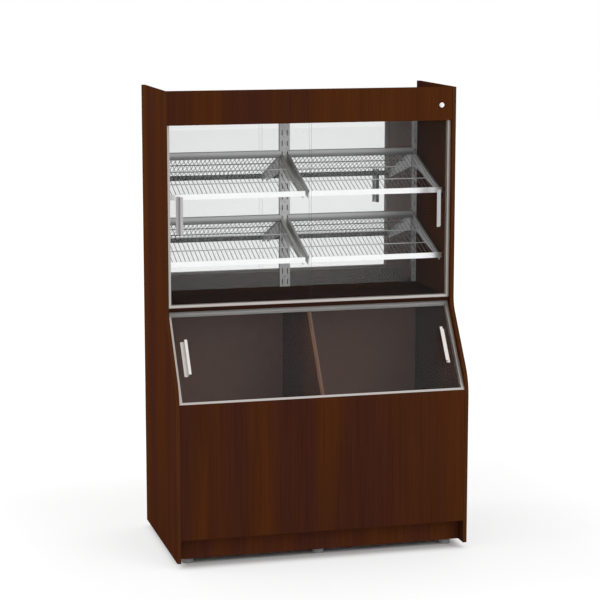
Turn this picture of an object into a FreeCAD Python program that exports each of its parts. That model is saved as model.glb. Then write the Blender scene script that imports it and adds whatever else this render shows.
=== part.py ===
import FreeCAD, Part
import math
import operator
import os
from types import SimpleNamespace
import Sketcher
from FreeCAD import Placement, Rotation, Vector

# Driving sizes in millimetres, shelf_tilt in degrees. Heights are measured from the bottom edge of the side
# panels, drops down from their top edge, insets in from their inner faces.
SIZES = {
    # carcass
    "width": 1200,
    "depth": 666,
    "upper_depth": 468,
    "panel_height": 1840,
    "board": 15,
    "slope_top": 954,
    "slope_foot": 673,
    "bend_radius": 110,
    "nose_radius": 200,
    "header_height": 134,
    "header_recess": 2,
    "ceiling_drop": 105,
    "deck_height": 967,
    "deck_recess": 16,
    "sill_height": 635,
    "front_recess": 2,
    "front_bottom": 92,
    "toe_recess": 63,
    "rail_depth": 100,
    "bin_floor_height": 385,
    "partition_gap": 2,
    # back and mirror
    "back_board": 6,
    "back_recess": 5,
    "back_drop": 50,
    "mirror_thick": 4,
    "mirror_gap": 1,
    # feet
    "foot_height": 25,
    "foot_radius": 25,
    "pad_height": 20,
    "pad_chamfer": 3,
    "stud_radius": 4,
    "stud_bite": 10,
    "foot_inset": 47,
    "front_foot_setback": 106,
    "rear_foot_setback": 60,
    # door openings
    "frame_gap": 3,
    "slope_inset": 26,
    "frame_depth": 20,
    "frame_wall": 1.5,
    "sill_track": 11,
    "head_track": 18,
    "jamb_width": 13,
    # doors
    "glass": 4,
    "leaf_overlap": 12,
    "edge_gap": 1,
    "lift_gap": 10,
    "running_gap": 0.3,
    "glide_base": 1.7,
    "glide_side": 1.2,
    "glide_height": 8,
    "glide_length": 30,
    "glide_inset": 60,
    # handles
    "handle_length": 150,
    "handle_base": 15,
    "handle_reach": 26,
    "handle_lip": 9,
    "handle_wall": 2,
    "handle_inset": 25,
    # slotted uprights
    "upright_depth": 8,
    "upright_wall": 1.5,
    "upright_drop": 138,
    "side_upright": 20,
    "centre_upright": 45,
    "upright_gap": 4,
    "slot_width": 4,
    "slot_height": 22,
    "slot_pitch": 45,
    "slot_start": 10,
    "slot_offset": 11,
    # shelf brackets
    "upper_shelf_drop": 275,
    "bracket_thick": 3,
    "bracket_rise": 25,
    "bracket_drop": 14,
    "bracket_back": 6,
    "bracket_front": 38,
    "bracket_flange": 7,
    "tip_gap": 0.5,
    "tab_height": 10,
    "hook_drop": 4,
    "hook_thick": 2.5,
    "hook_gap": 0.3,
    # wire shelves
    "shelf_tilt": 20,
    "shelf_reach": 347,
    "bracket_gap": 2,
    "wire": 2.5,
    "cross_wire": 4,
    "wire_pitch": 18,
    "wire_drop": 24,
    "wire_overhang": 6,
    "wire_hole_gap": 0.3,
    "weld": 1,
    "rail_thick": 3,
    "front_rail": 22,
    "front_rail_below": 4,
    "rail_start": 3,
    "rail_end": 8,
    "back_rail": 30,
    "back_rail_rise": 1,
    "back_cross_wire": 121,
    "front_cross_wire": 230,
    # light
    "lamp_inset": 85,
    "lamp_width": 36,
    "lamp_height": 16,
    "lamp_gap": 15,
    "diffuser_radius": 13,
    # switch
    "switch_inset": 45,
    "switch_drop": 72,
    "bezel_radius": 10,
    "bezel_thick": 2,
    "barrel_radius": 7.8,
    "barrel_tail": 17,
    "barrel_gap": 0.2,
    "button_radius": 5.9,
    "button_gap": 0.3,
    "button_rise": 3,
    "button_root": 5,
    "button_travel": 2.5,
    # cable gland and leads
    "gland_inset": 135,
    "gland_rise": 20,
    "gland_flange_radius": 11,
    "gland_flange": 4,
    "gland_neck_radius": 7.8,
    "gland_nut": 7,
    "gland_gap": 0.2,
    "lead_radius": 3,
    "lead_bend": 8,
    "lead_gap": 0.2,
    "lead_spacing": 4,
    "lead_hole_gap": 0.5,
    "lead_entry": 28,
    "lead_drop": 28,
    "terminal_run": 17,
    "lamp_end_to_lead": 20,
    # corner brackets and screws
    "angle_leg": 25,
    "angle_width": 16,
    "angle_thick": 2,
    "screw_hole_place": 15,
    "screw_head_radius": 3.2,
    "screw_head": 2,
    "screw_radius": 1.6,
    "screw_bite": 10,
    "mirror_hole_gap": 0.6,
    "rear_angle_setback": 100,
    "deck_angle_setback": 380,
    "bin_angle_setback": 550,
    "base_angle_setback": 480,
    "low_angle_height": 180,
    "high_angle_height": 520,
    "header_angle_drop": 40,
    "toe_angle_height": 50,
}

doc = FreeCAD.newDocument("bread_display_case")
sheet = doc.addObject("Spreadsheet::Sheet", "Sizes")
for row, (alias, size) in enumerate(SIZES.items(), start=1):
    sheet.set(f"A{row}", alias)
    sheet.set(f"B{row}", str(size))
    sheet.setAlias(f"B{row}", alias)
doc.recompute()


# Sizes that know their formula

def as_cell(size):
    """A plain number becomes a cell whose formula is that number."""
    return size if isinstance(size, Cell) else Cell(float(size), f"{float(size)}")


def combine(sign, rule):
    """The two methods that join cells with one arithmetic sign."""
    def forward(self, other):
        other = as_cell(other)
        return Cell(rule(self.value, other.value), f"({self.formula} {sign} {other.formula})")

    def backward(self, other):
        return forward(as_cell(other), self)

    return forward, backward


class Cell:
    """A size together with the sheet formula that it comes from."""

    def __init__(self, value, formula):
        self.value = value
        self.formula = formula

    __add__, __radd__ = combine("+", operator.add)
    __sub__, __rsub__ = combine("-", operator.sub)
    __mul__, __rmul__ = combine("*", operator.mul)
    __truediv__, __rtruediv__ = combine("/", operator.truediv)

    def __neg__(self):
        return 0 - self


def root(size):
    return Cell(math.sqrt(size.value), f"sqrt({size.formula})")


def tangent(angle):
    return Cell(math.tan(math.radians(angle.value)), f"tan({angle.formula} * 1 deg)")


def cosine(angle):
    return Cell(math.cos(math.radians(angle.value)), f"cos({angle.formula} * 1 deg)")


def whole(size):
    return Cell(float(math.floor(size.value)), f"floor({size.formula})")


def vector(point):
    return Vector(*(as_cell(part).value for part in point))


s = SimpleNamespace(**{alias: Cell(float(getattr(sheet, alias)), f"Sizes.{alias}") for alias in SIZES})


# Levels and planes: X to the right, Y to the back, Z up, origin on the floor under the middle

half = s.width / 2 - s.board
back = s.depth / 2
front = -back
upper_front = back - s.upper_depth
back_face = back - s.back_recess - s.back_board
mirror_face = back_face - s.mirror_thick
upright_face = mirror_face - s.upright_depth
base_line = s.foot_height
top_line = base_line + s.panel_height
deck_under = base_line + s.deck_height
deck_top = deck_under + s.board
ceiling = top_line - s.ceiling_drop
tray = ceiling + s.board
header_low = top_line - s.header_height
header_front = upper_front + s.header_recess
header_back = header_front + s.board
panel_front = front + s.front_recess
panel_back = panel_front + s.board
toe_front = front + s.toe_recess
toe_back = toe_front + s.board
rail_low = base_line + s.front_bottom
bin_under = base_line + s.bin_floor_height
bin_top = bin_under + s.board
sill = base_line + s.sill_height

# Slope of the lower doors: rise and run of the panel edge, and the frame plane inside it
slope_run = s.depth - s.upper_depth
slope_rise = s.slope_top - s.slope_foot
slope_length = root(slope_run * slope_run + slope_rise * slope_rise)
slope_sine = slope_run / slope_length
slope_cosine = slope_rise / slope_length


def slope_y(inset, height):
    """Y of the line that lies inset behind the panels' sloping edge, at a height."""
    start_y = upper_front + inset * slope_cosine
    start_z = base_line + s.slope_top - inset * slope_sine
    return start_y + (height - start_z) * slope_run / slope_rise


def slope_z(inset, y):
    """Height of the line that lies inset behind the panels' sloping edge, at a Y."""
    start_y = upper_front + inset * slope_cosine
    start_z = base_line + s.slope_top - inset * slope_sine
    return start_z + (y - start_y) * slope_rise / slope_run


# Builders for single objects

pieces = {}


def place(item, at, rotation=None):
    """Put an object at a point, with the point bound to the sheet."""
    item.Placement = Placement(vector(at), rotation or Rotation())
    for axis, part in zip("xyz", at):
        item.setExpression(f"Placement.Base.{axis}", as_cell(part).formula)
    return item


def bind(item, **sizes):
    for name, size in sizes.items():
        item.setExpression(name, as_cell(size).formula)
    return item


def keep(label, item):
    """Take an object as a sub-part with a label of its own."""
    item.Label = label
    pieces[label] = item
    return item


def box(name, at, size, rotation=None):
    item = doc.addObject("Part::Box", name)
    bind(item, Length=size[0], Width=size[1], Height=size[2])
    return place(item, at, rotation)


def rod(name, at, radius, length, rotation=None, angle=360):
    item = doc.addObject("Part::Cylinder", name)
    item.Angle = angle
    bind(item, Radius=radius, Height=length)
    return place(item, at, rotation)


def joined(name, items):
    item = doc.addObject("Part::MultiFuse", name)
    item.Shapes = items
    return item


def group(name, items):
    item = doc.addObject("Part::Compound", name)
    item.Links = items
    return item


def cut(name, base, tools):
    item = doc.addObject("Part::Cut", name)
    item.Base = base
    item.Tool = tools[0] if len(tools) == 1 else group(f"{name}_tools", tools)
    return item


def feature(label, shape):
    """A sub-part whose shape is made in code from the sheet's values."""
    item = doc.addObject("Part::Feature", label)
    item.Shape = shape
    return keep(label, item)


BACKWARD = Rotation(Vector(1, 0, 0), -90)
RIGHTWARD = Rotation(Vector(0, 1, 0), 90)


def draw(body, role, outlines, name):
    """A sketch on one of the body's origin planes, every corner bound to the sheet."""
    sketch = body.newObject("Sketcher::SketchObject", f"{body.Name}_{name}")
    plane = next(item for item in body.Origin.OriginFeatures if item.Role == role)
    sketch.AttachmentSupport = [(plane, "")]
    sketch.MapMode = "FlatFace"
    for points in outlines:
        corners = [Vector(as_cell(x).value, as_cell(y).value, 0) for x, y in points]
        count = len(corners)
        first = sketch.GeometryCount
        lines = [Part.LineSegment(corners[i], corners[(i + 1) % count]) for i in range(count)]
        sketch.addGeometry(lines, False)
        for i in range(count):
            following = first + (i + 1) % count
            sketch.addConstraint(Sketcher.Constraint("Coincident", first + i, 2, following, 1))
        for i, (x, y) in enumerate(points):
            for kind, part in (("DistanceX", x), ("DistanceY", y)):
                value = as_cell(part).value
                number = sketch.addConstraint(Sketcher.Constraint(kind, -1, 1, first + i, 1, value))
                sketch.setExpression(f"Constraints[{number}]", as_cell(part).formula)
    return sketch


def prism(name, role, points, length, at, rotation=None):
    """A body: one outline on an origin plane, padded along that plane's normal."""
    body = doc.addObject("PartDesign::Body", name)
    pad = body.newObject("PartDesign::Pad", f"{name}_pad")
    pad.Profile = draw(body, role, [points], "outline")
    bind(pad, Length=length)
    body.Tip = pad
    return place(body, at, rotation)


def round_corner(body, name, corner, radius):
    """Round the edge of a prism that passes through one corner of its outline."""
    doc.recompute()
    tip = body.Tip
    spot = (as_cell(corner[0]).value, as_cell(corner[1]).value)
    edges = [
        f"Edge{number}" for number, edge in enumerate(tip.Shape.Edges, start=1)
        if all(math.dist((v.Y, v.Z), spot) < 0.01 for v in edge.Vertexes)
    ]
    fillet = body.newObject("PartDesign::Fillet", f"{body.Name}_{name}")
    fillet.Base = (tip, edges)
    bind(fillet, Radius=radius)
    body.Tip = fillet


# Carcass boards

def side_panel(label, x):
    nose = (front, base_line + s.slope_foot)
    bend = (upper_front, base_line + s.slope_top)
    outline = [(back, base_line), (front, base_line), nose, bend, (upper_front, top_line), (back, top_line)]
    body = prism(label, "YZ_Plane", outline, s.board, (x, 0, 0))
    round_corner(body, "bend", bend, s.bend_radius)
    round_corner(body, "nose", nose, s.nose_radius)
    keep(label, body)


def shelf_board(label, y, z, depth):
    keep(label, box(label, (-half, y, z), (2 * half, depth, s.board)))


def upright_board(label, y, z, height, thick):
    keep(label, box(label, (-half, y, z), (2 * half, thick, height)))


side_panel("left_side_panel", -s.width / 2)
side_panel("right_side_panel", half)
deck_front = upper_front + s.deck_recess
shelf_board("display_deck", deck_front, deck_under, back_face - deck_front)
shelf_board("bin_floor", panel_back, bin_under, back_face - panel_back)
shelf_board("base_panel", toe_back, base_line, back_face - toe_back)
shelf_board("plinth_rail", panel_back, rail_low, s.rail_depth)
upright_board("toe_kick", toe_front, base_line, s.front_bottom, s.board)

# The front panel ends at the top in a bevel that lies square to the slope, under the bottom track
sill_y = slope_y(s.slope_inset, sill)
bevel = slope_run / slope_rise
front_outline = [
    (panel_front, rail_low),
    (panel_front, sill - (panel_front - sill_y) * bevel),
    (panel_back, sill - (panel_back - sill_y) * bevel),
    (panel_back, rail_low),
]
keep("lower_front_panel", prism("lower_front_panel", "YZ_Plane", front_outline, 2 * half, (-half, 0, 0)))

partition_inset = s.slope_inset + s.frame_depth + s.partition_gap
partition_outline = [
    (back_face, bin_top),
    (panel_back, bin_top),
    (panel_back, slope_z(partition_inset, panel_back)),
    (slope_y(partition_inset, deck_under), deck_under),
    (back_face, deck_under),
]
keep("bin_partition", prism("bin_partition", "YZ_Plane", partition_outline, s.board, (-s.board / 2, 0, 0)))

# Wedge between the deck and the sloping top track
head_y = slope_y(s.slope_inset, deck_under)
wedge_back = head_y + s.frame_depth * slope_cosine
wedge_outline = [
    (head_y, deck_under),
    (wedge_back, deck_under),
    (wedge_back, deck_under - s.frame_depth * slope_sine),
]
keep("track_wedge", prism("track_wedge", "YZ_Plane", wedge_outline, 2 * half, (-half, 0, 0)))

# Boards with holes: header, top panel and back
switch_x = half - s.switch_inset
switch_z = top_line - s.switch_drop
header_blank = box("header_blank", (-half, header_front, header_low), (2 * half, s.board, s.header_height))
switch_hole = rod("switch_hole", (switch_x, header_front - s.board, switch_z),
                  s.barrel_radius + s.barrel_gap, 3 * s.board, BACKWARD)
keep("header_board", cut("header_board", header_blank, [switch_hole]))

upper_frame_front = header_back + s.frame_gap
lamp_front = upper_frame_front + s.frame_depth + s.lamp_gap
lamp_end = half - s.lamp_inset
lead_across = lamp_end - s.lamp_end_to_lead
lead_y = lamp_front + s.lamp_width - s.lead_bend - s.lead_radius
top_blank = box("top_blank", (-half, header_back, ceiling), (2 * half, back_face - header_back, s.board))
lead_hole = rod("lead_hole", (lead_across, lead_y, ceiling - s.board),
                s.lead_radius + s.lead_hole_gap, 3 * s.board)
keep("top_panel", cut("top_panel", top_blank, [lead_hole]))

gland_x = half - s.gland_inset
gland_z = tray + s.gland_rise
seam = deck_under + s.board / 2
back_blank = box("back_blank", (-half, back_face, seam),
                 (2 * half, s.back_board, top_line - s.back_drop - seam))
gland_hole = rod("gland_hole", (gland_x, back_face - s.back_board, gland_z),
                 s.gland_neck_radius + s.gland_gap, 3 * s.back_board, BACKWARD)
keep("upper_back_panel", cut("upper_back_panel", back_blank, [gland_hole]))
upright_board("lower_back_panel", back_face, base_line, seam - base_line, s.back_board)


# Slotted uprights on the mirror, and the screws that hold both to the back

side_middle = half - s.upright_gap - s.side_upright / 2
upright_height = top_line - s.upright_drop - deck_top
slot_count = whole((upright_height - 2 * s.slot_start - s.slot_height) / s.slot_pitch) + 1


def upright(label, middle, width, columns):
    """A folded channel with its open side to the mirror and columns of slots in its face."""
    w = s.upright_wall
    d = s.upright_depth
    a = width / 2
    outline = [(-a, 0), (a, 0), (a, d), (a - w, d), (a - w, w), (w - a, w), (w - a, d), (-a, d)]
    body = prism(label, "XY_Plane", outline, upright_height, (middle, upright_face, deck_top))
    h = s.slot_width / 2
    low = s.slot_start
    high = s.slot_start + s.slot_height
    slots = [[(x - h, low), (x + h, low), (x + h, high), (x - h, high)] for x in columns]
    pocket = body.newObject("PartDesign::Pocket", f"{label}_slots")
    pocket.Profile = draw(body, "XZ_Plane", slots, "slots")
    pocket.Type = "ThroughAll"
    pocket.Midplane = True
    body.Tip = pocket
    doc.recompute()
    pattern = body.newObject("PartDesign::LinearPattern", f"{label}_slot_rows")
    pattern.Originals = [pocket]
    pattern.Direction = (pocket.Profile[0], ["V_Axis"])
    bind(pattern, Length=s.slot_pitch * (slot_count - 1), Occurrences=slot_count)
    body.Tip = pattern
    keep(label, body)


zero = as_cell(0)
upright("left_upright", -side_middle, s.side_upright, [zero])
upright("centre_upright", zero, s.centre_upright, [-s.slot_offset, s.slot_offset])
upright("right_upright", side_middle, s.side_upright, [zero])


def screw(spot, way, bite):
    """A pan-head screw: its head stands on the spot, its shank runs on along the way."""
    way = Vector(way)
    tall = s.screw_head.value
    head = Part.makeCylinder(s.screw_head_radius.value, tall, spot - way * tall, way)
    shank = Part.makeCylinder(s.screw_radius.value, bite, spot, way)
    return head.fuse(shank).removeSplitter()


def over_slot(slot):
    """The middle of the plain stretch between a slot and the next one up."""
    return deck_top + s.slot_start + s.slot_pitch * slot + (s.slot_height + s.slot_pitch) / 2


upright_screw_heights = [over_slot(0), over_slot(whole(slot_count / 2) - 1), over_slot(slot_count - 2)]
upright_screw_spots = [(x, z) for x in (-side_middle, zero, side_middle) for z in upright_screw_heights]
upright_screw_length = s.upright_depth + s.mirror_thick + s.back_board - s.mirror_gap
feature("upright_screws", Part.makeCompound([
    screw(vector((x, upright_face, z)), (0, 1, 0), upright_screw_length.value)
    for x, z in upright_screw_spots
]))

mirror_blank = box("mirror_blank", (s.mirror_gap - half, mirror_face, deck_top),
                   (2 * half - 2 * s.mirror_gap, s.mirror_thick, ceiling - deck_top - s.mirror_gap))
mirror_holes = [
    rod(f"mirror_hole_{number}", (x, mirror_face - s.mirror_thick, z),
        s.screw_radius + s.mirror_hole_gap, 3 * s.mirror_thick, BACKWARD)
    for number, (x, z) in enumerate(upright_screw_spots)
]
keep("back_mirror", cut("back_mirror", mirror_blank, mirror_holes))


# Shelf brackets: tapering angles with two hooks in the upright's slots and holes for the shelf's cross wires

fall = tangent(s.shelf_tilt)
lean = cosine(s.shelf_tilt)
cross_wire_drop = s.wire_drop - ((s.wire + s.cross_wire) / 2 - s.weld) / lean
cross_wire_spots = [(-forward, -forward * fall - cross_wire_drop)
                    for forward in (s.back_cross_wire, s.front_cross_wire)]
bracket_tip = s.shelf_reach - s.rail_thick - s.tip_gap


def bracket_top(forward):
    """A point on the bracket's top edge, some way in front of the upright."""
    return -forward, -forward * fall - s.bracket_drop


def bracket_outline():
    """The plate's side view: it ends in a corner under the lower hook."""
    tip_low = -bracket_tip * fall - s.bracket_front
    lower_rest = -s.bracket_rise - s.slot_pitch
    back_low = lower_rest - s.bracket_back
    points = [bracket_top(zero), bracket_top(bracket_tip), (-bracket_tip, tip_low), (0, back_low)]
    inner = s.upright_wall + s.hook_gap
    outer = inner + s.hook_thick
    for rest in (lower_rest, -s.bracket_rise):
        points += [
            (0, rest),
            (inner, rest),
            (inner, rest - s.hook_drop),
            (outer, rest - s.hook_drop),
            (outer, rest + s.tab_height),
            (0, rest + s.tab_height),
        ]
    return points


def flange_outline():
    """The flange's side view: it starts clear of the shelf's back rail."""
    edge = [bracket_top(s.rail_thick + s.bracket_gap), bracket_top(bracket_tip)]
    return edge + [(y, z - s.bracket_thick) for y, z in reversed(edge)]


def level_height(slot):
    return deck_top + s.slot_start + s.slot_pitch * slot + s.bracket_rise


# The upper shelf hangs in the first slot under its drop, the lower one half as many slots up
upper_slot = whole((top_line - s.upper_shelf_drop - level_height(0)) / s.slot_pitch)
lower_slot = whole(upper_slot / 2)


def bracket(name, middle, level, inward):
    """A bracket whose flange points to the shelf that it carries; inward is 1 where that is to the right."""
    thick = s.bracket_thick
    at = (middle - thick / 2, upright_face, level)
    plate = prism(f"{name}_plate", "YZ_Plane", bracket_outline(), thick, at)
    if inward < 0:
        at = (middle - thick / 2 - s.bracket_flange, upright_face, level)
    flange = prism(f"{name}_flange", "YZ_Plane", flange_outline(), thick + s.bracket_flange, at)
    holes = [
        rod(f"{name}_hole_{number}", (middle - thick, upright_face + y, level + z),
            s.cross_wire / 2 + s.wire_hole_gap, 2 * thick, RIGHTWARD)
        for number, (y, z) in enumerate(cross_wire_spots, start=1)
    ]
    return cut(name, joined(f"{name}_angle", [plate, flange]), holes)


levels = {"upper": level_height(upper_slot), "lower": level_height(lower_slot)}
for row_name, level in levels.items():
    left = f"{row_name}_left_bracket"
    keep(left, bracket(left, -side_middle, level, 1))
    right = f"{row_name}_right_bracket"
    keep(right, bracket(right, side_middle, level, -1))
    pair = [bracket(f"{row_name}_centre_bracket_{number}", sign * s.slot_offset, level, sign)
            for number, sign in enumerate((-1, 1), start=1)]
    keep(f"{row_name}_centre_brackets", group(f"{row_name}_centre_brackets", pair))


# Wire shelves: welded grids between two brackets, hung in the brackets' holes by their cross wires

def shelf_shape():
    """One shelf, its origin on its left bracket's middle plane, at that bracket's top corner."""
    span = (side_middle - s.slot_offset).value
    reach = s.shelf_reach.value
    slope = fall.value
    drop = s.wire_drop.value
    radius = s.wire.value / 2
    rail = s.rail_thick.value
    near = rail / 2
    far = reach - rail / 2
    front_low = -drop - slope * far - s.front_rail_below.value
    front_start = s.rail_start.value
    front_length = span + s.rail_end.value - front_start
    front_rail = Part.makeBox(front_length, rail, s.front_rail.value, Vector(front_start, -reach, front_low))
    clear = (s.bracket_thick / 2 + s.bracket_gap).value
    back_low = (s.back_rail_rise - s.back_rail).value
    bars = [Part.makeBox(span - 2 * clear, rail, s.back_rail.value, Vector(clear, -rail, back_low))]
    over = s.wire_overhang.value
    for y, z in cross_wire_spots:
        start = vector((-over, y, z))
        bars.append(Part.makeCylinder(s.cross_wire.value / 2, span + 2 * over, start, Vector(1, 0, 0)))
    pitch = s.wire_pitch.value
    count = int((span - 2 * clear - 2 * radius) // pitch) + 1
    first = (span - (count - 1) * pitch) / 2
    run = Vector(0, near - far, -slope * (far - near))
    for number in range(count):
        start = Vector(first + number * pitch, -near, -drop - slope * near)
        bars.append(Part.makeCylinder(radius, run.Length, start, run))
    return front_rail.multiFuse(bars).removeSplitter()


shelf = shelf_shape()
for row_name, level in levels.items():
    for side, start in (("left", -side_middle), ("right", s.slot_offset)):
        item = feature(f"{row_name}_{side}_shelf", shelf.copy())
        place(item, (start, upright_face, level))


# Door openings: tracks, jambs and two sliding leaves each

class Opening:
    """A door opening with its own axes: across, deep into the case and up along the glass."""

    def __init__(self, name, y, z, sine, cosine_, height, clear_top):
        self.name = name
        self.y = y
        self.z = z
        self.sine = as_cell(sine)
        self.cosine = as_cell(cosine_)
        self.height = height
        self.clear_top = clear_top
        lean = math.degrees(math.atan2(self.sine.value, self.cosine.value))
        self.rotation = Rotation(Vector(1, 0, 0), -lean)

    def point(self, across, deep, up):
        y = self.y + deep * self.cosine + up * self.sine
        z = self.z - deep * self.sine + up * self.cosine
        return across, y, z


groove = (s.frame_depth - 3 * s.frame_wall) / 2
front_lane = s.frame_wall + groove / 2
rear_lane = s.frame_depth - s.frame_wall - groove / 2
glass_low = s.frame_wall + s.running_gap + s.glide_base


def track(opening, name, height, low, upward):
    """A double-groove track across the opening, its grooves up or down."""
    label = f"{opening.name}_{name}"
    w = s.frame_wall
    outline = [(0, 0), (s.frame_depth, 0)]
    for number in (2, 1):
        start = number * (w + groove)
        outline += [(start + w, height), (start, height), (start, w), (start - groove, w)]
    outline += [(w, height), (0, height)]
    if not upward:
        outline = [(deep, height - up) for deep, up in outline]
    body = prism(label, "YZ_Plane", outline, 2 * half, opening.point(-half, 0, low), opening.rotation)
    keep(label, body)


def jamb(opening, side, sign):
    """A channel on the side panel that takes the outer edges of the leaves."""
    label = f"{opening.name}_{side}_jamb"
    w = s.frame_wall
    d = s.frame_depth
    wide = sign * s.jamb_width
    thin = sign * w
    outline = [(0, 0), (wide, 0), (wide, w), (thin, w), (thin, d - w), (wide, d - w), (wide, d), (0, d)]
    length = opening.height - s.sill_track - s.head_track
    at = opening.point(-sign * half, 0, s.sill_track)
    keep(label, prism(label, "XY_Plane", outline, length, at, opening.rotation))


def door(opening, side, sign, lane):
    """A leaf on two glides, with its handle near the jamb; sign is 1 for the left leaf."""
    name = f"{opening.name}_{side}"
    outer = -sign * (half - s.frame_wall - s.edge_gap)
    inner = sign * s.leaf_overlap / 2
    low_x = outer if sign > 0 else inner
    leaf_width = half - s.frame_wall - s.edge_gap + s.leaf_overlap / 2
    leaf_height = opening.height - glass_low - s.frame_wall - s.lift_gap
    face = lane - s.glass / 2
    leaf = box(f"{name}_glass", opening.point(low_x, face, glass_low),
               (leaf_width, s.glass, leaf_height), opening.rotation)
    keep(f"{name}_glass", leaf)

    reach = s.handle_reach
    wall = s.handle_wall
    base = s.handle_base
    lip = base + s.handle_lip
    plan = [(0, 0), (base, 0), (base, wall - reach), (lip, wall - reach), (lip, -reach),
            (base - wall, -reach), (base - wall, -wall), (0, -wall)]
    plan = [(sign * x, y) for x, y in plan]
    middle = (s.sill_track + opening.clear_top) / 2
    edge = -sign * (half - s.jamb_width - s.handle_inset)
    at = opening.point(edge, face, middle - s.handle_length / 2)
    handle = prism(f"{name}_handle", "XY_Plane", plan, s.handle_length, at, opening.rotation)
    keep(f"{name}_handle", handle)

    thick = s.glass / 2
    wide = thick + s.glide_side
    tall = s.glide_height
    low = s.glide_base
    section = [(-wide, 0), (wide, 0), (wide, tall), (thick, tall), (thick, low), (-thick, low),
               (-thick, tall), (-wide, tall)]
    starts = [low_x + s.glide_inset, low_x + leaf_width - s.glide_inset - s.glide_length]
    pair = [
        prism(f"{name}_glide_{number}", "YZ_Plane", section, s.glide_length,
              opening.point(start, lane, glass_low - s.glide_base), opening.rotation)
        for number, start in enumerate(starts, start=1)
    ]
    keep(f"{name}_glides", group(f"{name}_glides", pair))


lower_height = (deck_under - sill) / slope_cosine
openings = [
    Opening("upper", upper_frame_front, deck_top, 0, 1, ceiling - deck_top, header_low - deck_top),
    Opening("lower", sill_y, sill, slope_sine, slope_cosine, lower_height, lower_height - s.head_track),
]
for opening in openings:
    track(opening, "bottom_track", s.sill_track, zero, True)
    track(opening, "top_track", s.head_track, opening.height - s.head_track, False)
    jamb(opening, "left", 1)
    jamb(opening, "right", -1)
    door(opening, "left", 1, rear_lane)
    door(opening, "right", -1, front_lane)


# Feet: pads on threaded studs that are screwed into the base panel

foot_x = half - s.foot_inset
foot_spots = [(x, y) for y in (front + s.front_foot_setback, back - s.rear_foot_setback)
              for x in (-foot_x, zero, foot_x)]


def foot_pad(x, y):
    wide = s.foot_radius.value
    tall = s.pad_height.value
    edge = s.pad_chamfer.value
    outline = [(0, 0), (wide, 0), (wide, tall - edge), (wide - edge, tall), (0, tall), (0, 0)]
    face = Part.Face(Part.makePolygon([Vector(r, 0, z) for r, z in outline]))
    pad = face.revolve(Vector(0, 0, 0), Vector(0, 0, 1), 360)
    pad.translate(vector((x, y, 0)))
    return pad


feature("foot_pads", Part.makeCompound([foot_pad(x, y) for x, y in foot_spots]))
stud_start = s.pad_height - s.stud_bite
stud_length = s.foot_height - stud_start + s.stud_bite
feature("foot_studs", Part.makeCompound([
    Part.makeCylinder(s.stud_radius.value, stud_length.value, vector((x, y, stud_start)))
    for x, y in foot_spots
]))


# Lamp under the top panel, behind the header

lamp_low = ceiling - s.lamp_height
lamp_middle = lamp_front + s.lamp_width / 2
keep("lamp_housing", box("lamp_housing", (-lamp_end, lamp_front, lamp_low),
                         (2 * lamp_end, s.lamp_width, s.lamp_height)))
half_round = BACKWARD * RIGHTWARD
keep("lamp_diffuser", rod("lamp_diffuser", (-lamp_end, lamp_middle, lamp_low),
                          s.diffuser_radius, 2 * lamp_end, half_round, 180))


# Push switch in the header

bezel_front = header_front - s.bezel_thick


def switch_rod(name, y, radius, length):
    return rod(name, (switch_x, y, switch_z), radius, length, BACKWARD)


bezel = switch_rod("switch_bezel", bezel_front, s.bezel_radius, s.bezel_thick)
barrel = switch_rod("switch_barrel", bezel_front, s.barrel_radius, s.bezel_thick + s.board + s.barrel_tail)
bore_depth = s.button_root + s.button_travel + s.button_gap
bore = switch_rod("switch_bore", bezel_front - s.bezel_thick, s.button_radius + s.button_gap,
                  bore_depth + s.bezel_thick)
keep("switch_body", cut("switch_body", joined("switch_solid", [bezel, barrel]), [bore]))
button_front = bezel_front - s.button_rise
button_length = s.button_rise + s.button_root
keep("switch_button", switch_rod("switch_button", button_front, s.button_radius, button_length))


# Cable gland in the back and the two leads in the top tray

gland_back = back_face + s.back_board
nut_front = back_face - s.gland_nut
neck_length = s.gland_nut + s.back_board + s.gland_flange


def gland_rod(name, y, radius, length):
    return rod(name, (gland_x, y, gland_z), radius, length, BACKWARD)


flange = gland_rod("gland_flange", gland_back, s.gland_flange_radius, s.gland_flange)
neck = gland_rod("gland_neck", nut_front, s.gland_neck_radius, neck_length)
nut = gland_rod("gland_nut", nut_front, s.gland_flange_radius, s.gland_nut)
way_radius = s.lead_radius + s.gland_gap
way = gland_rod("gland_way", nut_front - s.gland_nut, way_radius, 2 * s.gland_nut + neck_length)
keep("cable_gland", cut("cable_gland", joined("gland_solid", [flange, neck, nut]), [way]))


def lead(points):
    """A round lead along straight runs with an arc at every corner between them."""
    spots = [vector(point) for point in points]
    radius = s.lead_bend.value
    edges = []
    start = spots[0]
    for before, corner, after in zip(spots, spots[1:], spots[2:]):
        arrive = (corner - before).normalize()
        leave = (after - corner).normalize()
        turn = arrive.getAngle(leave)
        step = radius * math.tan(turn / 2)
        begin = corner - arrive * step
        end = corner + leave * step
        inward = (leave - arrive).normalize()
        top = corner + inward * (radius / math.cos(turn / 2) - radius)
        edges += [Part.LineSegment(start, begin).toShape(), Part.Arc(begin, top, end).toShape()]
        start = end
    edges.append(Part.LineSegment(start, spots[-1]).toShape())
    path = Part.Wire(edges)
    ring = Part.Wire(Part.Circle(spots[0], spots[1] - spots[0], s.lead_radius.value).toShape())
    tube = path.makePipeShell([ring], True, False)
    wanted = math.pi * s.lead_radius.value ** 2 * path.Length
    if abs(tube.Volume / wanted - 1) > 0.02:
        raise ValueError("a lead has the wrong volume")
    return tube


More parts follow.
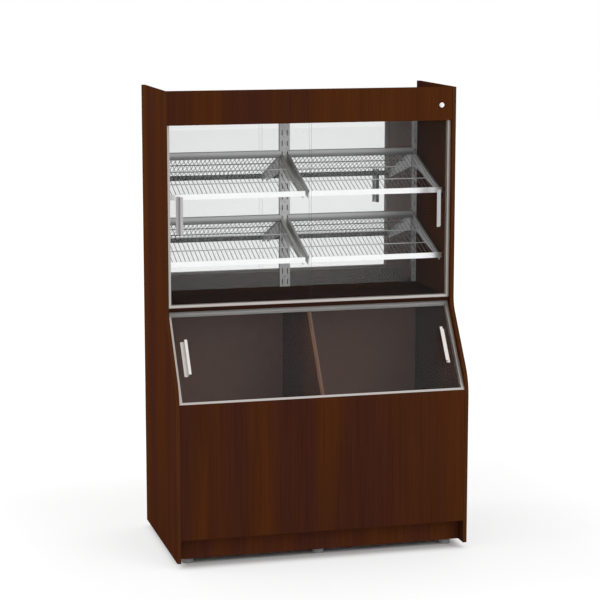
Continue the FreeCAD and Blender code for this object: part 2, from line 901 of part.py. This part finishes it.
lead_z = tray + s.lead_radius + s.lead_gap
drop_z = tray + s.lead_bend + s.lead_gap
terminal_y = header_back + s.barrel_tail
supply_x = switch_x - s.lead_spacing
lamp_x = switch_x + s.lead_spacing
diagonal = supply_x - gland_x
lead_turn = lead_y + 2 * s.lead_bend
supply = [
    (gland_x, back_face, gland_z),
    (gland_x, back_face - s.lead_entry, gland_z),
    (gland_x, back_face - s.lead_entry - s.lead_drop, lead_z),
    (gland_x, lead_turn + diagonal, lead_z),
    (supply_x, lead_turn, lead_z),
    (supply_x, terminal_y + 2 * s.terminal_run, lead_z),
    (supply_x, terminal_y + s.terminal_run, switch_z),
    (supply_x, terminal_y, switch_z),
]
to_lamp = [
    (lamp_x, terminal_y, switch_z),
    (lamp_x, terminal_y + s.terminal_run, switch_z),
    (lamp_x, terminal_y + 2 * s.terminal_run, drop_z),
    (lamp_x, lead_y, drop_z),
    (lead_across, lead_y, drop_z),
    (lead_across, lead_y, ceiling),
]
feature("light_leads", Part.makeCompound([lead(supply), lead(to_lamp)]))


# Corner brackets with their screws: each line gives the inside corner of two boards and its two legs

RIGHT = Vector(1, 0, 0)
REAR = Vector(0, 1, 0)
UP = Vector(0, 0, 1)
rear_y = back - s.rear_angle_setback
base_top = base_line + s.board
left_corners = [
    ((-half, rear_y, deck_under), -UP),
    ((-half, back - s.deck_angle_setback, deck_under), -UP),
    ((-half, rear_y, bin_under), -UP),
    ((-half, back - s.bin_angle_setback, bin_under), -UP),
    ((-half, rear_y, tray), UP),
    ((-half, back - s.deck_angle_setback, tray), UP),
    ((-half, rear_y, base_top), UP),
    ((-half, back - s.base_angle_setback, base_top), UP),
    ((-half, panel_back, base_line + s.low_angle_height), REAR),
    ((-half, panel_back, base_line + s.high_angle_height), REAR),
    ((-half, header_back, top_line - s.header_angle_drop), REAR),
    ((-half, toe_back, base_line + s.toe_angle_height), REAR),
]


def leg(corner, along, thick_way, width_way):
    """One leg of a corner bracket as a box along three directions."""
    long_side = along * s.angle_leg.value
    thick_side = thick_way * s.angle_thick.value
    wide_side = width_way * s.angle_width.value
    start = corner - wide_side * 0.5
    ends = [start, start + long_side, start + long_side + thick_side, start + thick_side, start]
    return Part.Face(Part.makePolygon(ends)).extrude(wide_side)


angles = []
angle_screws = []
for spot, second_leg in left_corners:
    for first_leg in (RIGHT, -RIGHT):
        corner = vector(spot)
        corner.x *= first_leg.x
        width_way = first_leg.cross(second_leg)
        flat = leg(corner, first_leg, second_leg, width_way)
        angles.append(flat.fuse(leg(corner, second_leg, first_leg, width_way)).removeSplitter())
        for along, inward in ((first_leg, second_leg), (second_leg, first_leg)):
            seat = corner + along * s.screw_hole_place.value + inward * s.angle_thick.value
            angle_screws.append(screw(seat, -inward, s.angle_thick.value + s.screw_bite.value))
feature("corner_brackets", Part.makeCompound(angles))
feature("corner_screws", Part.makeCompound(angle_screws))


# Check every object and write one file for each sub-part

doc.recompute()
for item in doc.Objects:
    if "Invalid" in item.State or "Error" in item.State:
        raise ValueError(f"{item.Label} did not build")
os.makedirs("parts", exist_ok=True)
for label, item in pieces.items():
    shape = item.Shape
    if shape.isNull() or not shape.isValid() or not shape.Solids:
        raise ValueError(f"{label} has no valid solid")
    shape.exportStep(f"parts/{label}.step")
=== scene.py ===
import math
import bpy
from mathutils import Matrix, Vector

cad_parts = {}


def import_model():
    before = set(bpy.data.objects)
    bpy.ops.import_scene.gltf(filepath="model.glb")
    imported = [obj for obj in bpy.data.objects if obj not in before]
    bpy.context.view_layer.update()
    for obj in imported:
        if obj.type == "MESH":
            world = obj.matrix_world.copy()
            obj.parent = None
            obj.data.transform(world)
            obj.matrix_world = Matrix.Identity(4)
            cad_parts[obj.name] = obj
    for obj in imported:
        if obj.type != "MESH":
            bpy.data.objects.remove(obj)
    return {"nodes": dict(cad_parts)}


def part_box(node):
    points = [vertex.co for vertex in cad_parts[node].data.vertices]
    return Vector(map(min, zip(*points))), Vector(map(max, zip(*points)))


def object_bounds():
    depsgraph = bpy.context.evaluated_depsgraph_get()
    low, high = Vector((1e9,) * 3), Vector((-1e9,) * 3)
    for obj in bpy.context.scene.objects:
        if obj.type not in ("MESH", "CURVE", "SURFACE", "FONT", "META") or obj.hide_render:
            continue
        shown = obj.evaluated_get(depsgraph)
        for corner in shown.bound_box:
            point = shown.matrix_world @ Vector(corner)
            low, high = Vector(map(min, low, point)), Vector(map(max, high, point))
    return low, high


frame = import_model()
cad_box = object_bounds()

# The photograph's camera: place in metres, angles in degrees, lens and sensor in millimetres
CAMERA_AT = (-2.0445, -7.7446, 2.3387)
CAMERA_YAW = 14.683
CAMERA_PITCH = 9.497
CAMERA_LENS = 119.3
CAMERA_SENSOR = 36.0

# Parts of the node names
DOORS = ("upper_left", "upper_right", "lower_left", "lower_right")
ROWS = ("upper", "lower")
SIDES = ("left", "right")
BRACKETS = ("left_bracket", "centre_brackets", "right_bracket")

# Most of a noise lies between these values
NOISE_LOW = 0.3
NOISE_HIGH = 0.7

# How squarely a face has to look along an axis to count as facing it
SQUARE_ON = 0.9

# Places on a wire shelf in metres: the rails' thickness with a little over, the back rail's height,
# how far the cross wires lie in front of the back, and half their thickness with a little over
SHELF_RAIL = 0.0032
BACK_RAIL = 0.030
CROSS_WIRES = (0.121, 0.230)
CROSS_WIRE_REACH = 0.0021

# The glass: how fast its sheen grows towards flat angles, the tint of its edges and that of its shadow
SHEEN_POWER = 5.0
GLASS_EDGE = (0.12, 0.16, 0.15, 1.0)
GLASS_SHADE = (0.95, 0.96, 0.955, 1.0)

# The floor in metres: its size, and where its two glows begin and are full, measured from the case
FLOOR_SIZE = 40.0
NEAR_GLOW = (-0.06, 0.03)
FAR_GLOW = (0.3, 1.6)

# The near glow's share of the floor's look, the glow's strength, and the light of the dome
NEAR_SHARE = 0.55
GLOW_STRENGTH = 1.09
DOME_STRENGTH = 0.78


# Small helpers for node trees

def colour(red, green, blue):
    """A colour from its screen values, 0 to 255, as the linear values that shaders take."""
    def linear(value):
        part = value / 255
        return part / 12.92 if part <= 0.04045 else ((part + 0.055) / 1.055) ** 2.4

    return (linear(red), linear(green), linear(blue), 1.0)


class Looks:
    """A material under construction: one Principled shader and the nodes that feed it."""

    def __init__(self, name, **sockets):
        self.material = bpy.data.materials.new(name)
        self.material.use_nodes = True
        self.tree = self.material.node_tree
        self.tree.nodes.clear()
        self.shader = self.add("ShaderNodeBsdfPrincipled")
        self.output = self.add("ShaderNodeOutputMaterial")
        self.surface(self.shader)
        self.set(**sockets)

    def add(self, kind):
        return self.tree.nodes.new(kind)

    def join(self, source, target):
        self.tree.links.new(source, target)

    def set(self, **sockets):
        """Constant values of the shader, with spaces in the socket names written as underscores."""
        for name, value in sockets.items():
            self.shader.inputs[name.replace("_", " ")].default_value = value

    def noise(self, stretch, detail, roughness):
        """Noise over the row frame, stretched by a factor along each axis."""
        place = self.add("ShaderNodeTexCoord")
        mapping = self.add("ShaderNodeMapping")
        mapping.inputs["Scale"].default_value = stretch
        texture = self.add("ShaderNodeTexNoise")
        texture.inputs["Scale"].default_value = 1.0
        texture.inputs["Detail"].default_value = detail
        texture.inputs["Roughness"].default_value = roughness
        self.join(place.outputs["Object"], mapping.inputs["Vector"])
        self.join(mapping.outputs["Vector"], texture.inputs["Vector"])
        return texture.outputs["Fac"]

    def ramp(self, factor, stops):
        """Colours along a factor; stops are pairs of a position and a colour."""
        node = self.add("ShaderNodeValToRGB")
        elements = node.color_ramp.elements
        while len(elements) < len(stops):
            elements.new(0.5)
        for element, (position, tint) in zip(elements, stops):
            element.position = position
            element.color = tint
        self.join(factor, node.inputs["Fac"])
        return node.outputs["Color"]

    def tints(self, noise, dark, pale):
        """Two colours over the range of a noise."""
        return self.ramp(noise, ((NOISE_LOW, dark), (NOISE_HIGH, pale)))

    def span(self, noise, low, high):
        """Values from low to high over the range of a noise."""
        node = self.add("ShaderNodeMapRange")
        node.inputs["From Min"].default_value = NOISE_LOW
        node.inputs["From Max"].default_value = NOISE_HIGH
        node.inputs["To Min"].default_value = low
        node.inputs["To Max"].default_value = high
        self.join(noise, node.inputs["Value"])
        return node.outputs["Result"]

    def mix(self, factor, first, second, blend="MIX"):
        """Two colours mixed; factor is a number or a socket."""
        node = self.add("ShaderNodeMix")
        node.data_type = "RGBA"
        node.blend_type = blend
        if isinstance(factor, float):
            node.inputs["Factor"].default_value = factor
        else:
            self.join(factor, node.inputs["Factor"])
        for socket, part in ((node.inputs[6], first), (node.inputs[7], second)):
            if isinstance(part, tuple):
                socket.default_value = part
            else:
                self.join(part, socket)
        return node.outputs[2]

    def blend(self, factor, first, second):
        """A node that blends two shader nodes by a factor."""
        node = self.add("ShaderNodeMixShader")
        self.join(factor, node.inputs["Fac"])
        self.join(first.outputs[0], node.inputs[1])
        self.join(second.outputs[0], node.inputs[2])
        return node

    def bump(self, factor, strength, distance):
        """A relief of a height in metres that follows a factor."""
        node = self.add("ShaderNodeBump")
        node.inputs["Strength"].default_value = strength
        node.inputs["Distance"].default_value = distance
        self.join(factor, node.inputs["Height"])
        self.join(node.outputs["Normal"], self.shader.inputs["Normal"])

    def math(self, operation, first, second=0.0):
        """One step of arithmetic on two parts, each a number or a socket."""
        node = self.add("ShaderNodeMath")
        node.operation = operation
        for socket, part in zip(node.inputs, (first, second)):
            if isinstance(part, float):
                socket.default_value = part
            else:
                self.join(part, socket)
        return node.outputs[0]

    def normal(self, axis):
        """The part of a face's direction along an axis of the row frame."""
        geometry = self.add("ShaderNodeNewGeometry")
        split = self.add("ShaderNodeSeparateXYZ")
        self.join(geometry.outputs["Normal"], split.inputs["Vector"])
        return split.outputs[axis]

    def facing(self, axis):
        """1 on faces that look along an axis of the row frame, either way, 0 on the others."""
        return self.math("GREATER_THAN", self.math("ABSOLUTE", self.normal(axis)), SQUARE_ON)

    def behind(self):
        """1 on faces that look to the back, 0 on the others."""
        return self.math("GREATER_THAN", self.normal("Y"), 0.0)

    def place(self, axis):
        """The place along an axis of the row frame."""
        coordinates = self.add("ShaderNodeTexCoord")
        split = self.add("ShaderNodeSeparateXYZ")
        self.join(coordinates.outputs["Object"], split.inputs["Vector"])
        return split.outputs[axis]

    def within(self, axis, middle, reach):
        """1 within a reach of a plane square to an axis, 0 elsewhere."""
        distance = self.math("ABSOLUTE", self.math("SUBTRACT", self.place(axis), middle))
        return self.math("LESS_THAN", distance, reach)

    def away(self, start, end):
        """0 near the case and 1 away from it, with a soft step between two distances from its plan."""
        high = cad_box[1]
        past_side = self.math("SUBTRACT", self.math("ABSOLUTE", self.place("X")), high[0])
        past_front = self.math("SUBTRACT", self.math("ABSOLUTE", self.place("Y")), high[1])
        step = self.add("ShaderNodeMapRange")
        step.interpolation_type = "SMOOTHSTEP"
        step.inputs["From Min"].default_value = start
        step.inputs["From Max"].default_value = end
        self.join(self.math("MAXIMUM", past_side, past_front), step.inputs["Value"])
        return step.outputs["Result"]

    def surface(self, node):
        """Make a shader node the material's surface."""
        self.join(node.outputs[0], self.output.inputs["Surface"])

    def paint(self, source):
        self.join(source, self.shader.inputs["Base Color"])

    def roughen(self, source):
        self.join(source, self.shader.inputs["Roughness"])


# Materials

def stretched(along, length, across):
    """Noise scales for a grain that runs along one axis."""
    return tuple(length if axis == along else across for axis in "XYZ")


def wood(name, thin, grain, edge_tint, painted_light_factor=1.0):
    """Dark wood-look laminate: broad soft bands, fine grain and an edge band on the board's edges; a
    factor other than 1 paints light or shade over the whole face.
    """
    looks = Looks(name, Specular_IOR_Level=0.0)
    # Painted light or shade: the face's colour is scaled by this factor.
    painted_light_tint = (painted_light_factor, painted_light_factor, painted_light_factor, 1.0)
    bands = looks.ramp(looks.noise(stretched(grain, 0.25, 5.0), 3.0, 0.55), (
        (0.30, colour(60, 31, 26)),
        (0.45, colour(65, 34, 22)),
        (0.55, colour(71, 37, 18)),
        (0.70, colour(78, 42, 18)),
    ))
    grain_lines = looks.noise(stretched(grain, 3.0, 150.0), 5.0, 0.6)
    tone = looks.tints(grain_lines, (0.80, 0.79, 0.78, 1.0), (1.12, 1.11, 1.10, 1.0))
    face = looks.mix(1.0, looks.mix(1.0, bands, painted_light_tint, "MULTIPLY"), tone, "MULTIPLY")
    edge = looks.mix(1.0, edge_tint, tone, "MULTIPLY")
    looks.paint(looks.mix(looks.facing(thin), edge, face))
    looks.roughen(looks.span(grain_lines, 0.48, 0.6))
    looks.bump(grain_lines, 0.12, 0.0004)
    return looks.material


def back_board():
    """Thin hardboard with a matt printed face, bare brown behind."""
    looks = Looks("thin_back_board", Specular_IOR_Level=0.25)
    speckle = looks.noise((60.0, 60.0, 60.0), 6.0, 0.7)
    face = looks.tints(speckle, colour(116, 86, 75), colour(132, 98, 87))
    bare = looks.tints(speckle, colour(104, 70, 44), colour(124, 86, 56))
    looks.paint(looks.mix(looks.behind(), face, bare))
    looks.roughen(looks.span(speckle, 0.6, 0.75))
    looks.bump(speckle, 0.1, 0.0005)
    return looks.material


def metal(name, along, pale, dark, rough, metallic=0.75):
    """Satin anodised metal with fine drawn lines along one axis."""
    looks = Looks(name, Metallic=metallic)
    lines = looks.noise(stretched(along, 2.0, 700.0), 3.0, 0.6)
    looks.paint(looks.tints(lines, dark, pale))
    looks.roughen(looks.span(lines, rough - 0.06, rough + 0.06))
    return looks.material


def zinc(name, pale, dark, rough, painted_side_shade=None):
    """Plated steel with the soft mottling of zinc, and painted shade on the sides if a tint for it is
    given.
    """
    looks = Looks(name, Metallic=0.35)
    mottle = looks.noise((90.0, 90.0, 90.0), 4.0, 0.6)
    face = looks.ramp(mottle, ((0.35, dark), (0.65, pale)))
    # Painted shade on the faces that look along X.
    looks.paint(looks.mix(looks.facing("X"), face, painted_side_shade) if painted_side_shade else face)
    looks.roughen(looks.span(mottle, rough - 0.08, rough + 0.08))
    return looks.material


def shelf_metal(row):
    """Dull plated wire and a white front rail, with painted highlight and shade down the back rail, a
    painted highlight on the cross wires, and painted shade on the backs of the cross wires and front
    rail.
    """
    looks = Looks(f"{row}_shelf_wire", Roughness=0.34)
    low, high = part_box(f"{row}_left_shelf")
    mottle = looks.noise((40.0, 40.0, 40.0), 3.0, 0.5)
    # Painted shade on the faces of the cross wires and front rail that look to the back.
    painted_back_shade = colour(34, 34, 35)
    behind = looks.behind()
    tint = looks.tints(mottle, colour(96, 96, 97), colour(112, 112, 113))
    # Painted highlight: the cross wires are lighter than the rest of the wire, because they catch the
    # light, with painted shade on their backs.
    cross_wire_painted_light_and_shade = looks.tints(mottle, colour(206, 206, 206), colour(220, 220, 220))
    cross_wire_painted_light_and_shade = looks.mix(behind, cross_wire_painted_light_and_shade, painted_back_shade)
    for setback in CROSS_WIRES:
        tint = looks.mix(looks.within("Y", high.y - setback, CROSS_WIRE_REACH), tint, cross_wire_painted_light_and_shade)
    # Painted highlight and shade down the back rail's height: a light band near its top, darker towards
    # its bottom.
    down = looks.math("DIVIDE", looks.math("SUBTRACT", high.z, looks.place("Z")), BACK_RAIL)
    back_rail_painted_light = looks.ramp(down, (
        (0.0, colour(148, 148, 148)),
        (0.12, colour(195, 195, 195)),
        (0.4, colour(186, 186, 186)),
        (0.65, colour(142, 142, 142)),
        (1.0, colour(120, 120, 120)),
    ))
    tint = looks.mix(looks.within("Y", high.y, SHELF_RAIL), tint, back_rail_painted_light)
    front = looks.within("Y", low.y, SHELF_RAIL)
    front_rail = looks.tints(mottle, colour(250, 250, 250), colour(254, 254, 254))
    front_rail = looks.mix(behind, front_rail, painted_back_shade)
    looks.paint(looks.mix(front, tint, front_rail))
    metallic = looks.add("ShaderNodeMapRange")
    metallic.inputs["To Min"].default_value = 0.5
    metallic.inputs["To Max"].default_value = 1.0
    looks.join(front, metallic.inputs["Value"])
    looks.join(metallic.outputs["Result"], looks.shader.inputs["Metallic"])
    return looks.material


def mirror():
    """Silvered glass with the faintest clouding."""
    looks = Looks("silvered_glass", Metallic=0.83, Roughness=0.0)
    cloud = looks.noise((3.0, 3.0, 3.0), 2.0, 0.5)
    looks.paint(looks.tints(cloud, (0.925, 0.93, 0.93, 1.0), (0.945, 0.95, 0.95, 1.0)))
    return looks.material


def glass(name, clear_share):
    """Clear float glass with a trace of haze and a sheen at flat angles, which lets the lamps through."""
    looks = Looks(name, Roughness=0.0, IOR=1.0, Transmission_Weight=clear_share)
    cloud = looks.noise((4.0, 4.0, 4.0), 2.0, 0.5)
    face = looks.tints(cloud, (0.985, 0.99, 0.99, 1.0), (0.995, 1.0, 1.0, 1.0))
    looks.paint(looks.mix(looks.facing("X"), face, GLASS_EDGE))
    sheen = looks.add("ShaderNodeBsdfGlossy")
    sheen.inputs["Roughness"].default_value = 0.0
    angle = looks.add("ShaderNodeLayerWeight")
    pane = looks.blend(looks.math("POWER", angle.outputs["Facing"], SHEEN_POWER), looks.shader, sheen)
    ray = looks.add("ShaderNodeLightPath")
    clear = looks.add("ShaderNodeBsdfTransparent")
    clear.inputs["Color"].default_value = GLASS_SHADE
    looks.surface(looks.blend(ray.outputs["Is Shadow Ray"], pane, clear))
    return looks.material


def plastic(name, dark, pale, rough):
    """Moulded plastic with a fine texture."""
    looks = Looks(name)
    texture = looks.noise((220.0, 220.0, 220.0), 3.0, 0.5)
    looks.paint(looks.tints(texture, dark, pale))
    looks.roughen(looks.span(texture, rough - 0.05, rough + 0.05))
    looks.bump(texture, 0.05, 0.0003)
    return looks.material


def dress(material, *names):
    """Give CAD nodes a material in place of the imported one."""
    for name in names:
        mesh = frame["nodes"][name].data
        mesh.materials.clear()
        mesh.materials.append(material)


def dress_all():
    """Give every CAD node its material."""
    pale_edge = colour(74, 42, 22)
    dark_edge = colour(46, 27, 19)
    dress(wood("wood_side", "X", "Z", pale_edge), "left_side_panel", "right_side_panel")
    # Painted light: the partition is a lighter copy of the side wood, and its paler edge band is partly a
    # painted highlight from the glass edges in front of it.
    dress(wood("wood_partition_painted_light", "X", "Z", colour(106, 74, 58), 1.25), "bin_partition")
    dress(wood("wood_front", "Y", "Z", pale_edge), "header_board", "lower_front_panel")
    # Painted light: the toe kick is a lighter copy of the front wood, lifting the shade of its recess.
    dress(wood("wood_toe_painted_light", "Y", "Z", pale_edge, 1.35), "toe_kick")
    dress(wood("wood_flat", "Z", "X", dark_edge),
          "top_panel", "plinth_rail", "base_panel", "bin_floor", "track_wedge")
    # Painted shade: the deck is a darker copy of the flat wood, for the shade under the header and top
    # panel.
    dress(wood("wood_deck_painted_shade", "Z", "X", dark_edge, 0.4), "display_deck")
    dress(back_board(), "upper_back_panel", "lower_back_panel")
    dress(mirror(), "back_mirror")
    dress(metal("aluminium_track", "X", colour(201, 195, 191), colour(183, 177, 173), 0.34),
          "upper_top_track", "upper_bottom_track", "lower_bottom_track")
    # Painted light: the lower top track gets a paler, less metallic copy of the track aluminium, lifting
    # the shade under the deck's overhang.
    dress(metal("aluminium_head_painted_light", "X", colour(214, 212, 210), colour(200, 198, 196), 0.4, 0.3),
          "lower_top_track")
    dress(metal("aluminium_jamb", "Z", colour(192, 185, 179), colour(176, 169, 163), 0.34),
          *[f"{row}_{side}_jamb" for row in ROWS for side in SIDES])
    # Painted light and shade: the upper and lower handles are a darker and a lighter copy of one
    # aluminium, for the sloped lower doors catching more light from above.
    dress(metal("handle_painted_shade", "Z", colour(194, 192, 193), colour(178, 176, 177), 0.34, 0.65),
          "upper_left_handle", "upper_right_handle")
    dress(metal("handle_painted_light", "Z", colour(234, 228, 224), colour(222, 216, 212), 0.34, 0.45),
          "lower_left_handle", "lower_right_handle")
    # Painted shade: the uprights' sides get a dark tint for the shade inside their channels.
    dress(zinc("upright_steel_painted_side_shade", colour(214, 213, 213), colour(196, 195, 195), 0.45, colour(58, 57, 57)),
          "left_upright", "centre_upright", "right_upright")
    dress(zinc("zinc_steel", colour(188, 188, 190), colour(160, 160, 163), 0.4),
          "upright_screws", "corner_brackets", "corner_screws", "foot_studs")
    dress(zinc("bracket_steel", colour(204, 203, 202), colour(182, 181, 180), 0.42),
          *[f"{row}_{bracket}" for row in ROWS for bracket in BRACKETS])
    for row in ROWS:
        dress(shelf_metal(row), *[f"{row}_{side}_shelf" for side in SIDES])
    dress(glass("upper_door_glass", 0.9954), "upper_left_glass", "upper_right_glass")
    dress(glass("lower_door_glass", 0.989), "lower_left_glass", "lower_right_glass")
    dress(plastic("glide_plastic", colour(44, 44, 45), colour(54, 54, 55), 0.5),
          *[f"{door}_glides" for door in DOORS])
    dress(plastic("foot_plastic", colour(128, 128, 127), colour(142, 142, 141), 0.55), "foot_pads")
    dress(plastic("lamp_white", colour(226, 226, 225), colour(236, 236, 235), 0.4), "lamp_housing")
    dress(plastic("lamp_diffuser", colour(238, 238, 234), colour(246, 246, 242), 0.3), "lamp_diffuser")
    dress(plastic("switch_white", colour(236, 236, 234), colour(246, 246, 244), 0.28),
          "switch_body", "switch_button")
    dress(plastic("cable_black", colour(22, 22, 23), colour(32, 32, 33), 0.55),
          "cable_gland", "light_leads")


# Stage: floor, world, lamps and camera

def seen_ray(tree):
    """1 for rays that the camera, a mirror or glass sends out, 0 for rays that only carry light."""
    ray = tree.nodes.new("ShaderNodeLightPath")
    total = ray.outputs["Is Camera Ray"]
    for name in ("Is Glossy Ray", "Is Transmission Ray"):
        node = tree.nodes.new("ShaderNodeMath")
        node.operation = "MAXIMUM"
        tree.links.new(total, node.inputs[0])
        tree.links.new(ray.outputs[name], node.inputs[1])
        total = node.outputs[0]
    return total


def floor():
    """A white floor that runs into the white surround far away, with a soft shadow under the case that is
    deepened by painted shade where the floor's glows fade out towards the case.
    """
    half = FLOOR_SIZE / 2
    mesh = bpy.data.meshes.new("floor")
    corners = [(-half, -half, 0), (half, -half, 0), (half, half, 0), (-half, half, 0)]
    mesh.from_pydata(corners, [], [range(len(corners))])
    plane = bpy.data.objects.new("floor", mesh)
    bpy.context.scene.collection.objects.link(plane)
    looks = Looks("floor", Base_Color=(0.93, 0.93, 0.93, 1.0), Roughness=0.9, Specular_IOR_Level=0.0)
    glow = looks.add("ShaderNodeEmission")
    glow.inputs["Strength"].default_value = GLOW_STRENGTH
    ray = looks.add("ShaderNodeLightPath")
    # Painted shade: both glows fade out towards the case, so the floor darkens near and under it beyond
    # its real shadow.
    near = looks.math("MULTIPLY", looks.away(*NEAR_GLOW), NEAR_SHARE)
    far = looks.math("MULTIPLY", looks.away(*FAR_GLOW), 1.0 - NEAR_SHARE)
    share = looks.math("ADD", looks.math("MULTIPLY", near, seen_ray(looks.tree)),
                       looks.math("MULTIPLY", far, ray.outputs["Is Camera Ray"]))
    looks.surface(looks.blend(share, looks.shader, glow))
    mesh.materials.append(looks.material)


def world():
    """A white surround for the eye, and an even dome of light."""
    item = bpy.data.worlds.new("studio")
    bpy.context.scene.world = item
    item.use_nodes = True
    tree = item.node_tree
    tree.nodes.clear()
    dome = tree.nodes.new("ShaderNodeBackground")
    dome.inputs["Color"].default_value = (1.0, 1.0, 1.0, 1.0)
    dome.inputs["Strength"].default_value = DOME_STRENGTH
    white = tree.nodes.new("ShaderNodeBackground")
    white.inputs["Color"].default_value = (1.0, 1.0, 1.0, 1.0)
    both = tree.nodes.new("ShaderNodeMixShader")
    output = tree.nodes.new("ShaderNodeOutputWorld")
    tree.links.new(seen_ray(tree), both.inputs["Fac"])
    tree.links.new(dome.outputs["Background"], both.inputs[1])
    tree.links.new(white.outputs["Background"], both.inputs[2])
    tree.links.new(both.outputs["Shader"], output.inputs["Surface"])


def lamp(name, at, aim, size, power):
    """A square soft lamp that looks from one point to another."""
    data = bpy.data.lights.new(name, "AREA")
    data.shape = "SQUARE"
    data.size = size
    data.energy = power
    item = bpy.data.objects.new(name, data)
    item.location = at
    way = Vector(aim) - Vector(at)
    item.rotation_euler = way.to_track_quat("-Z", "Y").to_euler()
    item.visible_camera = False
    item.visible_glossy = False
    item.visible_transmission = False
    bpy.context.scene.collection.objects.link(item)


def lamps():
    middle = (0.0, 0.0, 0.9)
    lamp("front_light", (2.5, -5.0, 4.5), middle, 4.0, 110.0)
    lamp("side_light", (-5.0, 0.5, 3.0), middle, 3.0, 80.0)


def camera():
    """The photograph's view."""
    data = bpy.data.cameras.new("photo_camera")
    data.lens = CAMERA_LENS
    data.sensor_width = CAMERA_SENSOR
    item = bpy.data.objects.new("photo_camera", data)
    item.location = CAMERA_AT
    item.rotation_euler = (math.radians(90 - CAMERA_PITCH), 0, math.radians(-CAMERA_YAW))
    bpy.context.scene.collection.objects.link(item)
    bpy.context.scene.camera = item


bpy.context.scene.view_settings.view_transform = "Standard"
dress_all()
floor()
world()
lamps()
camera()
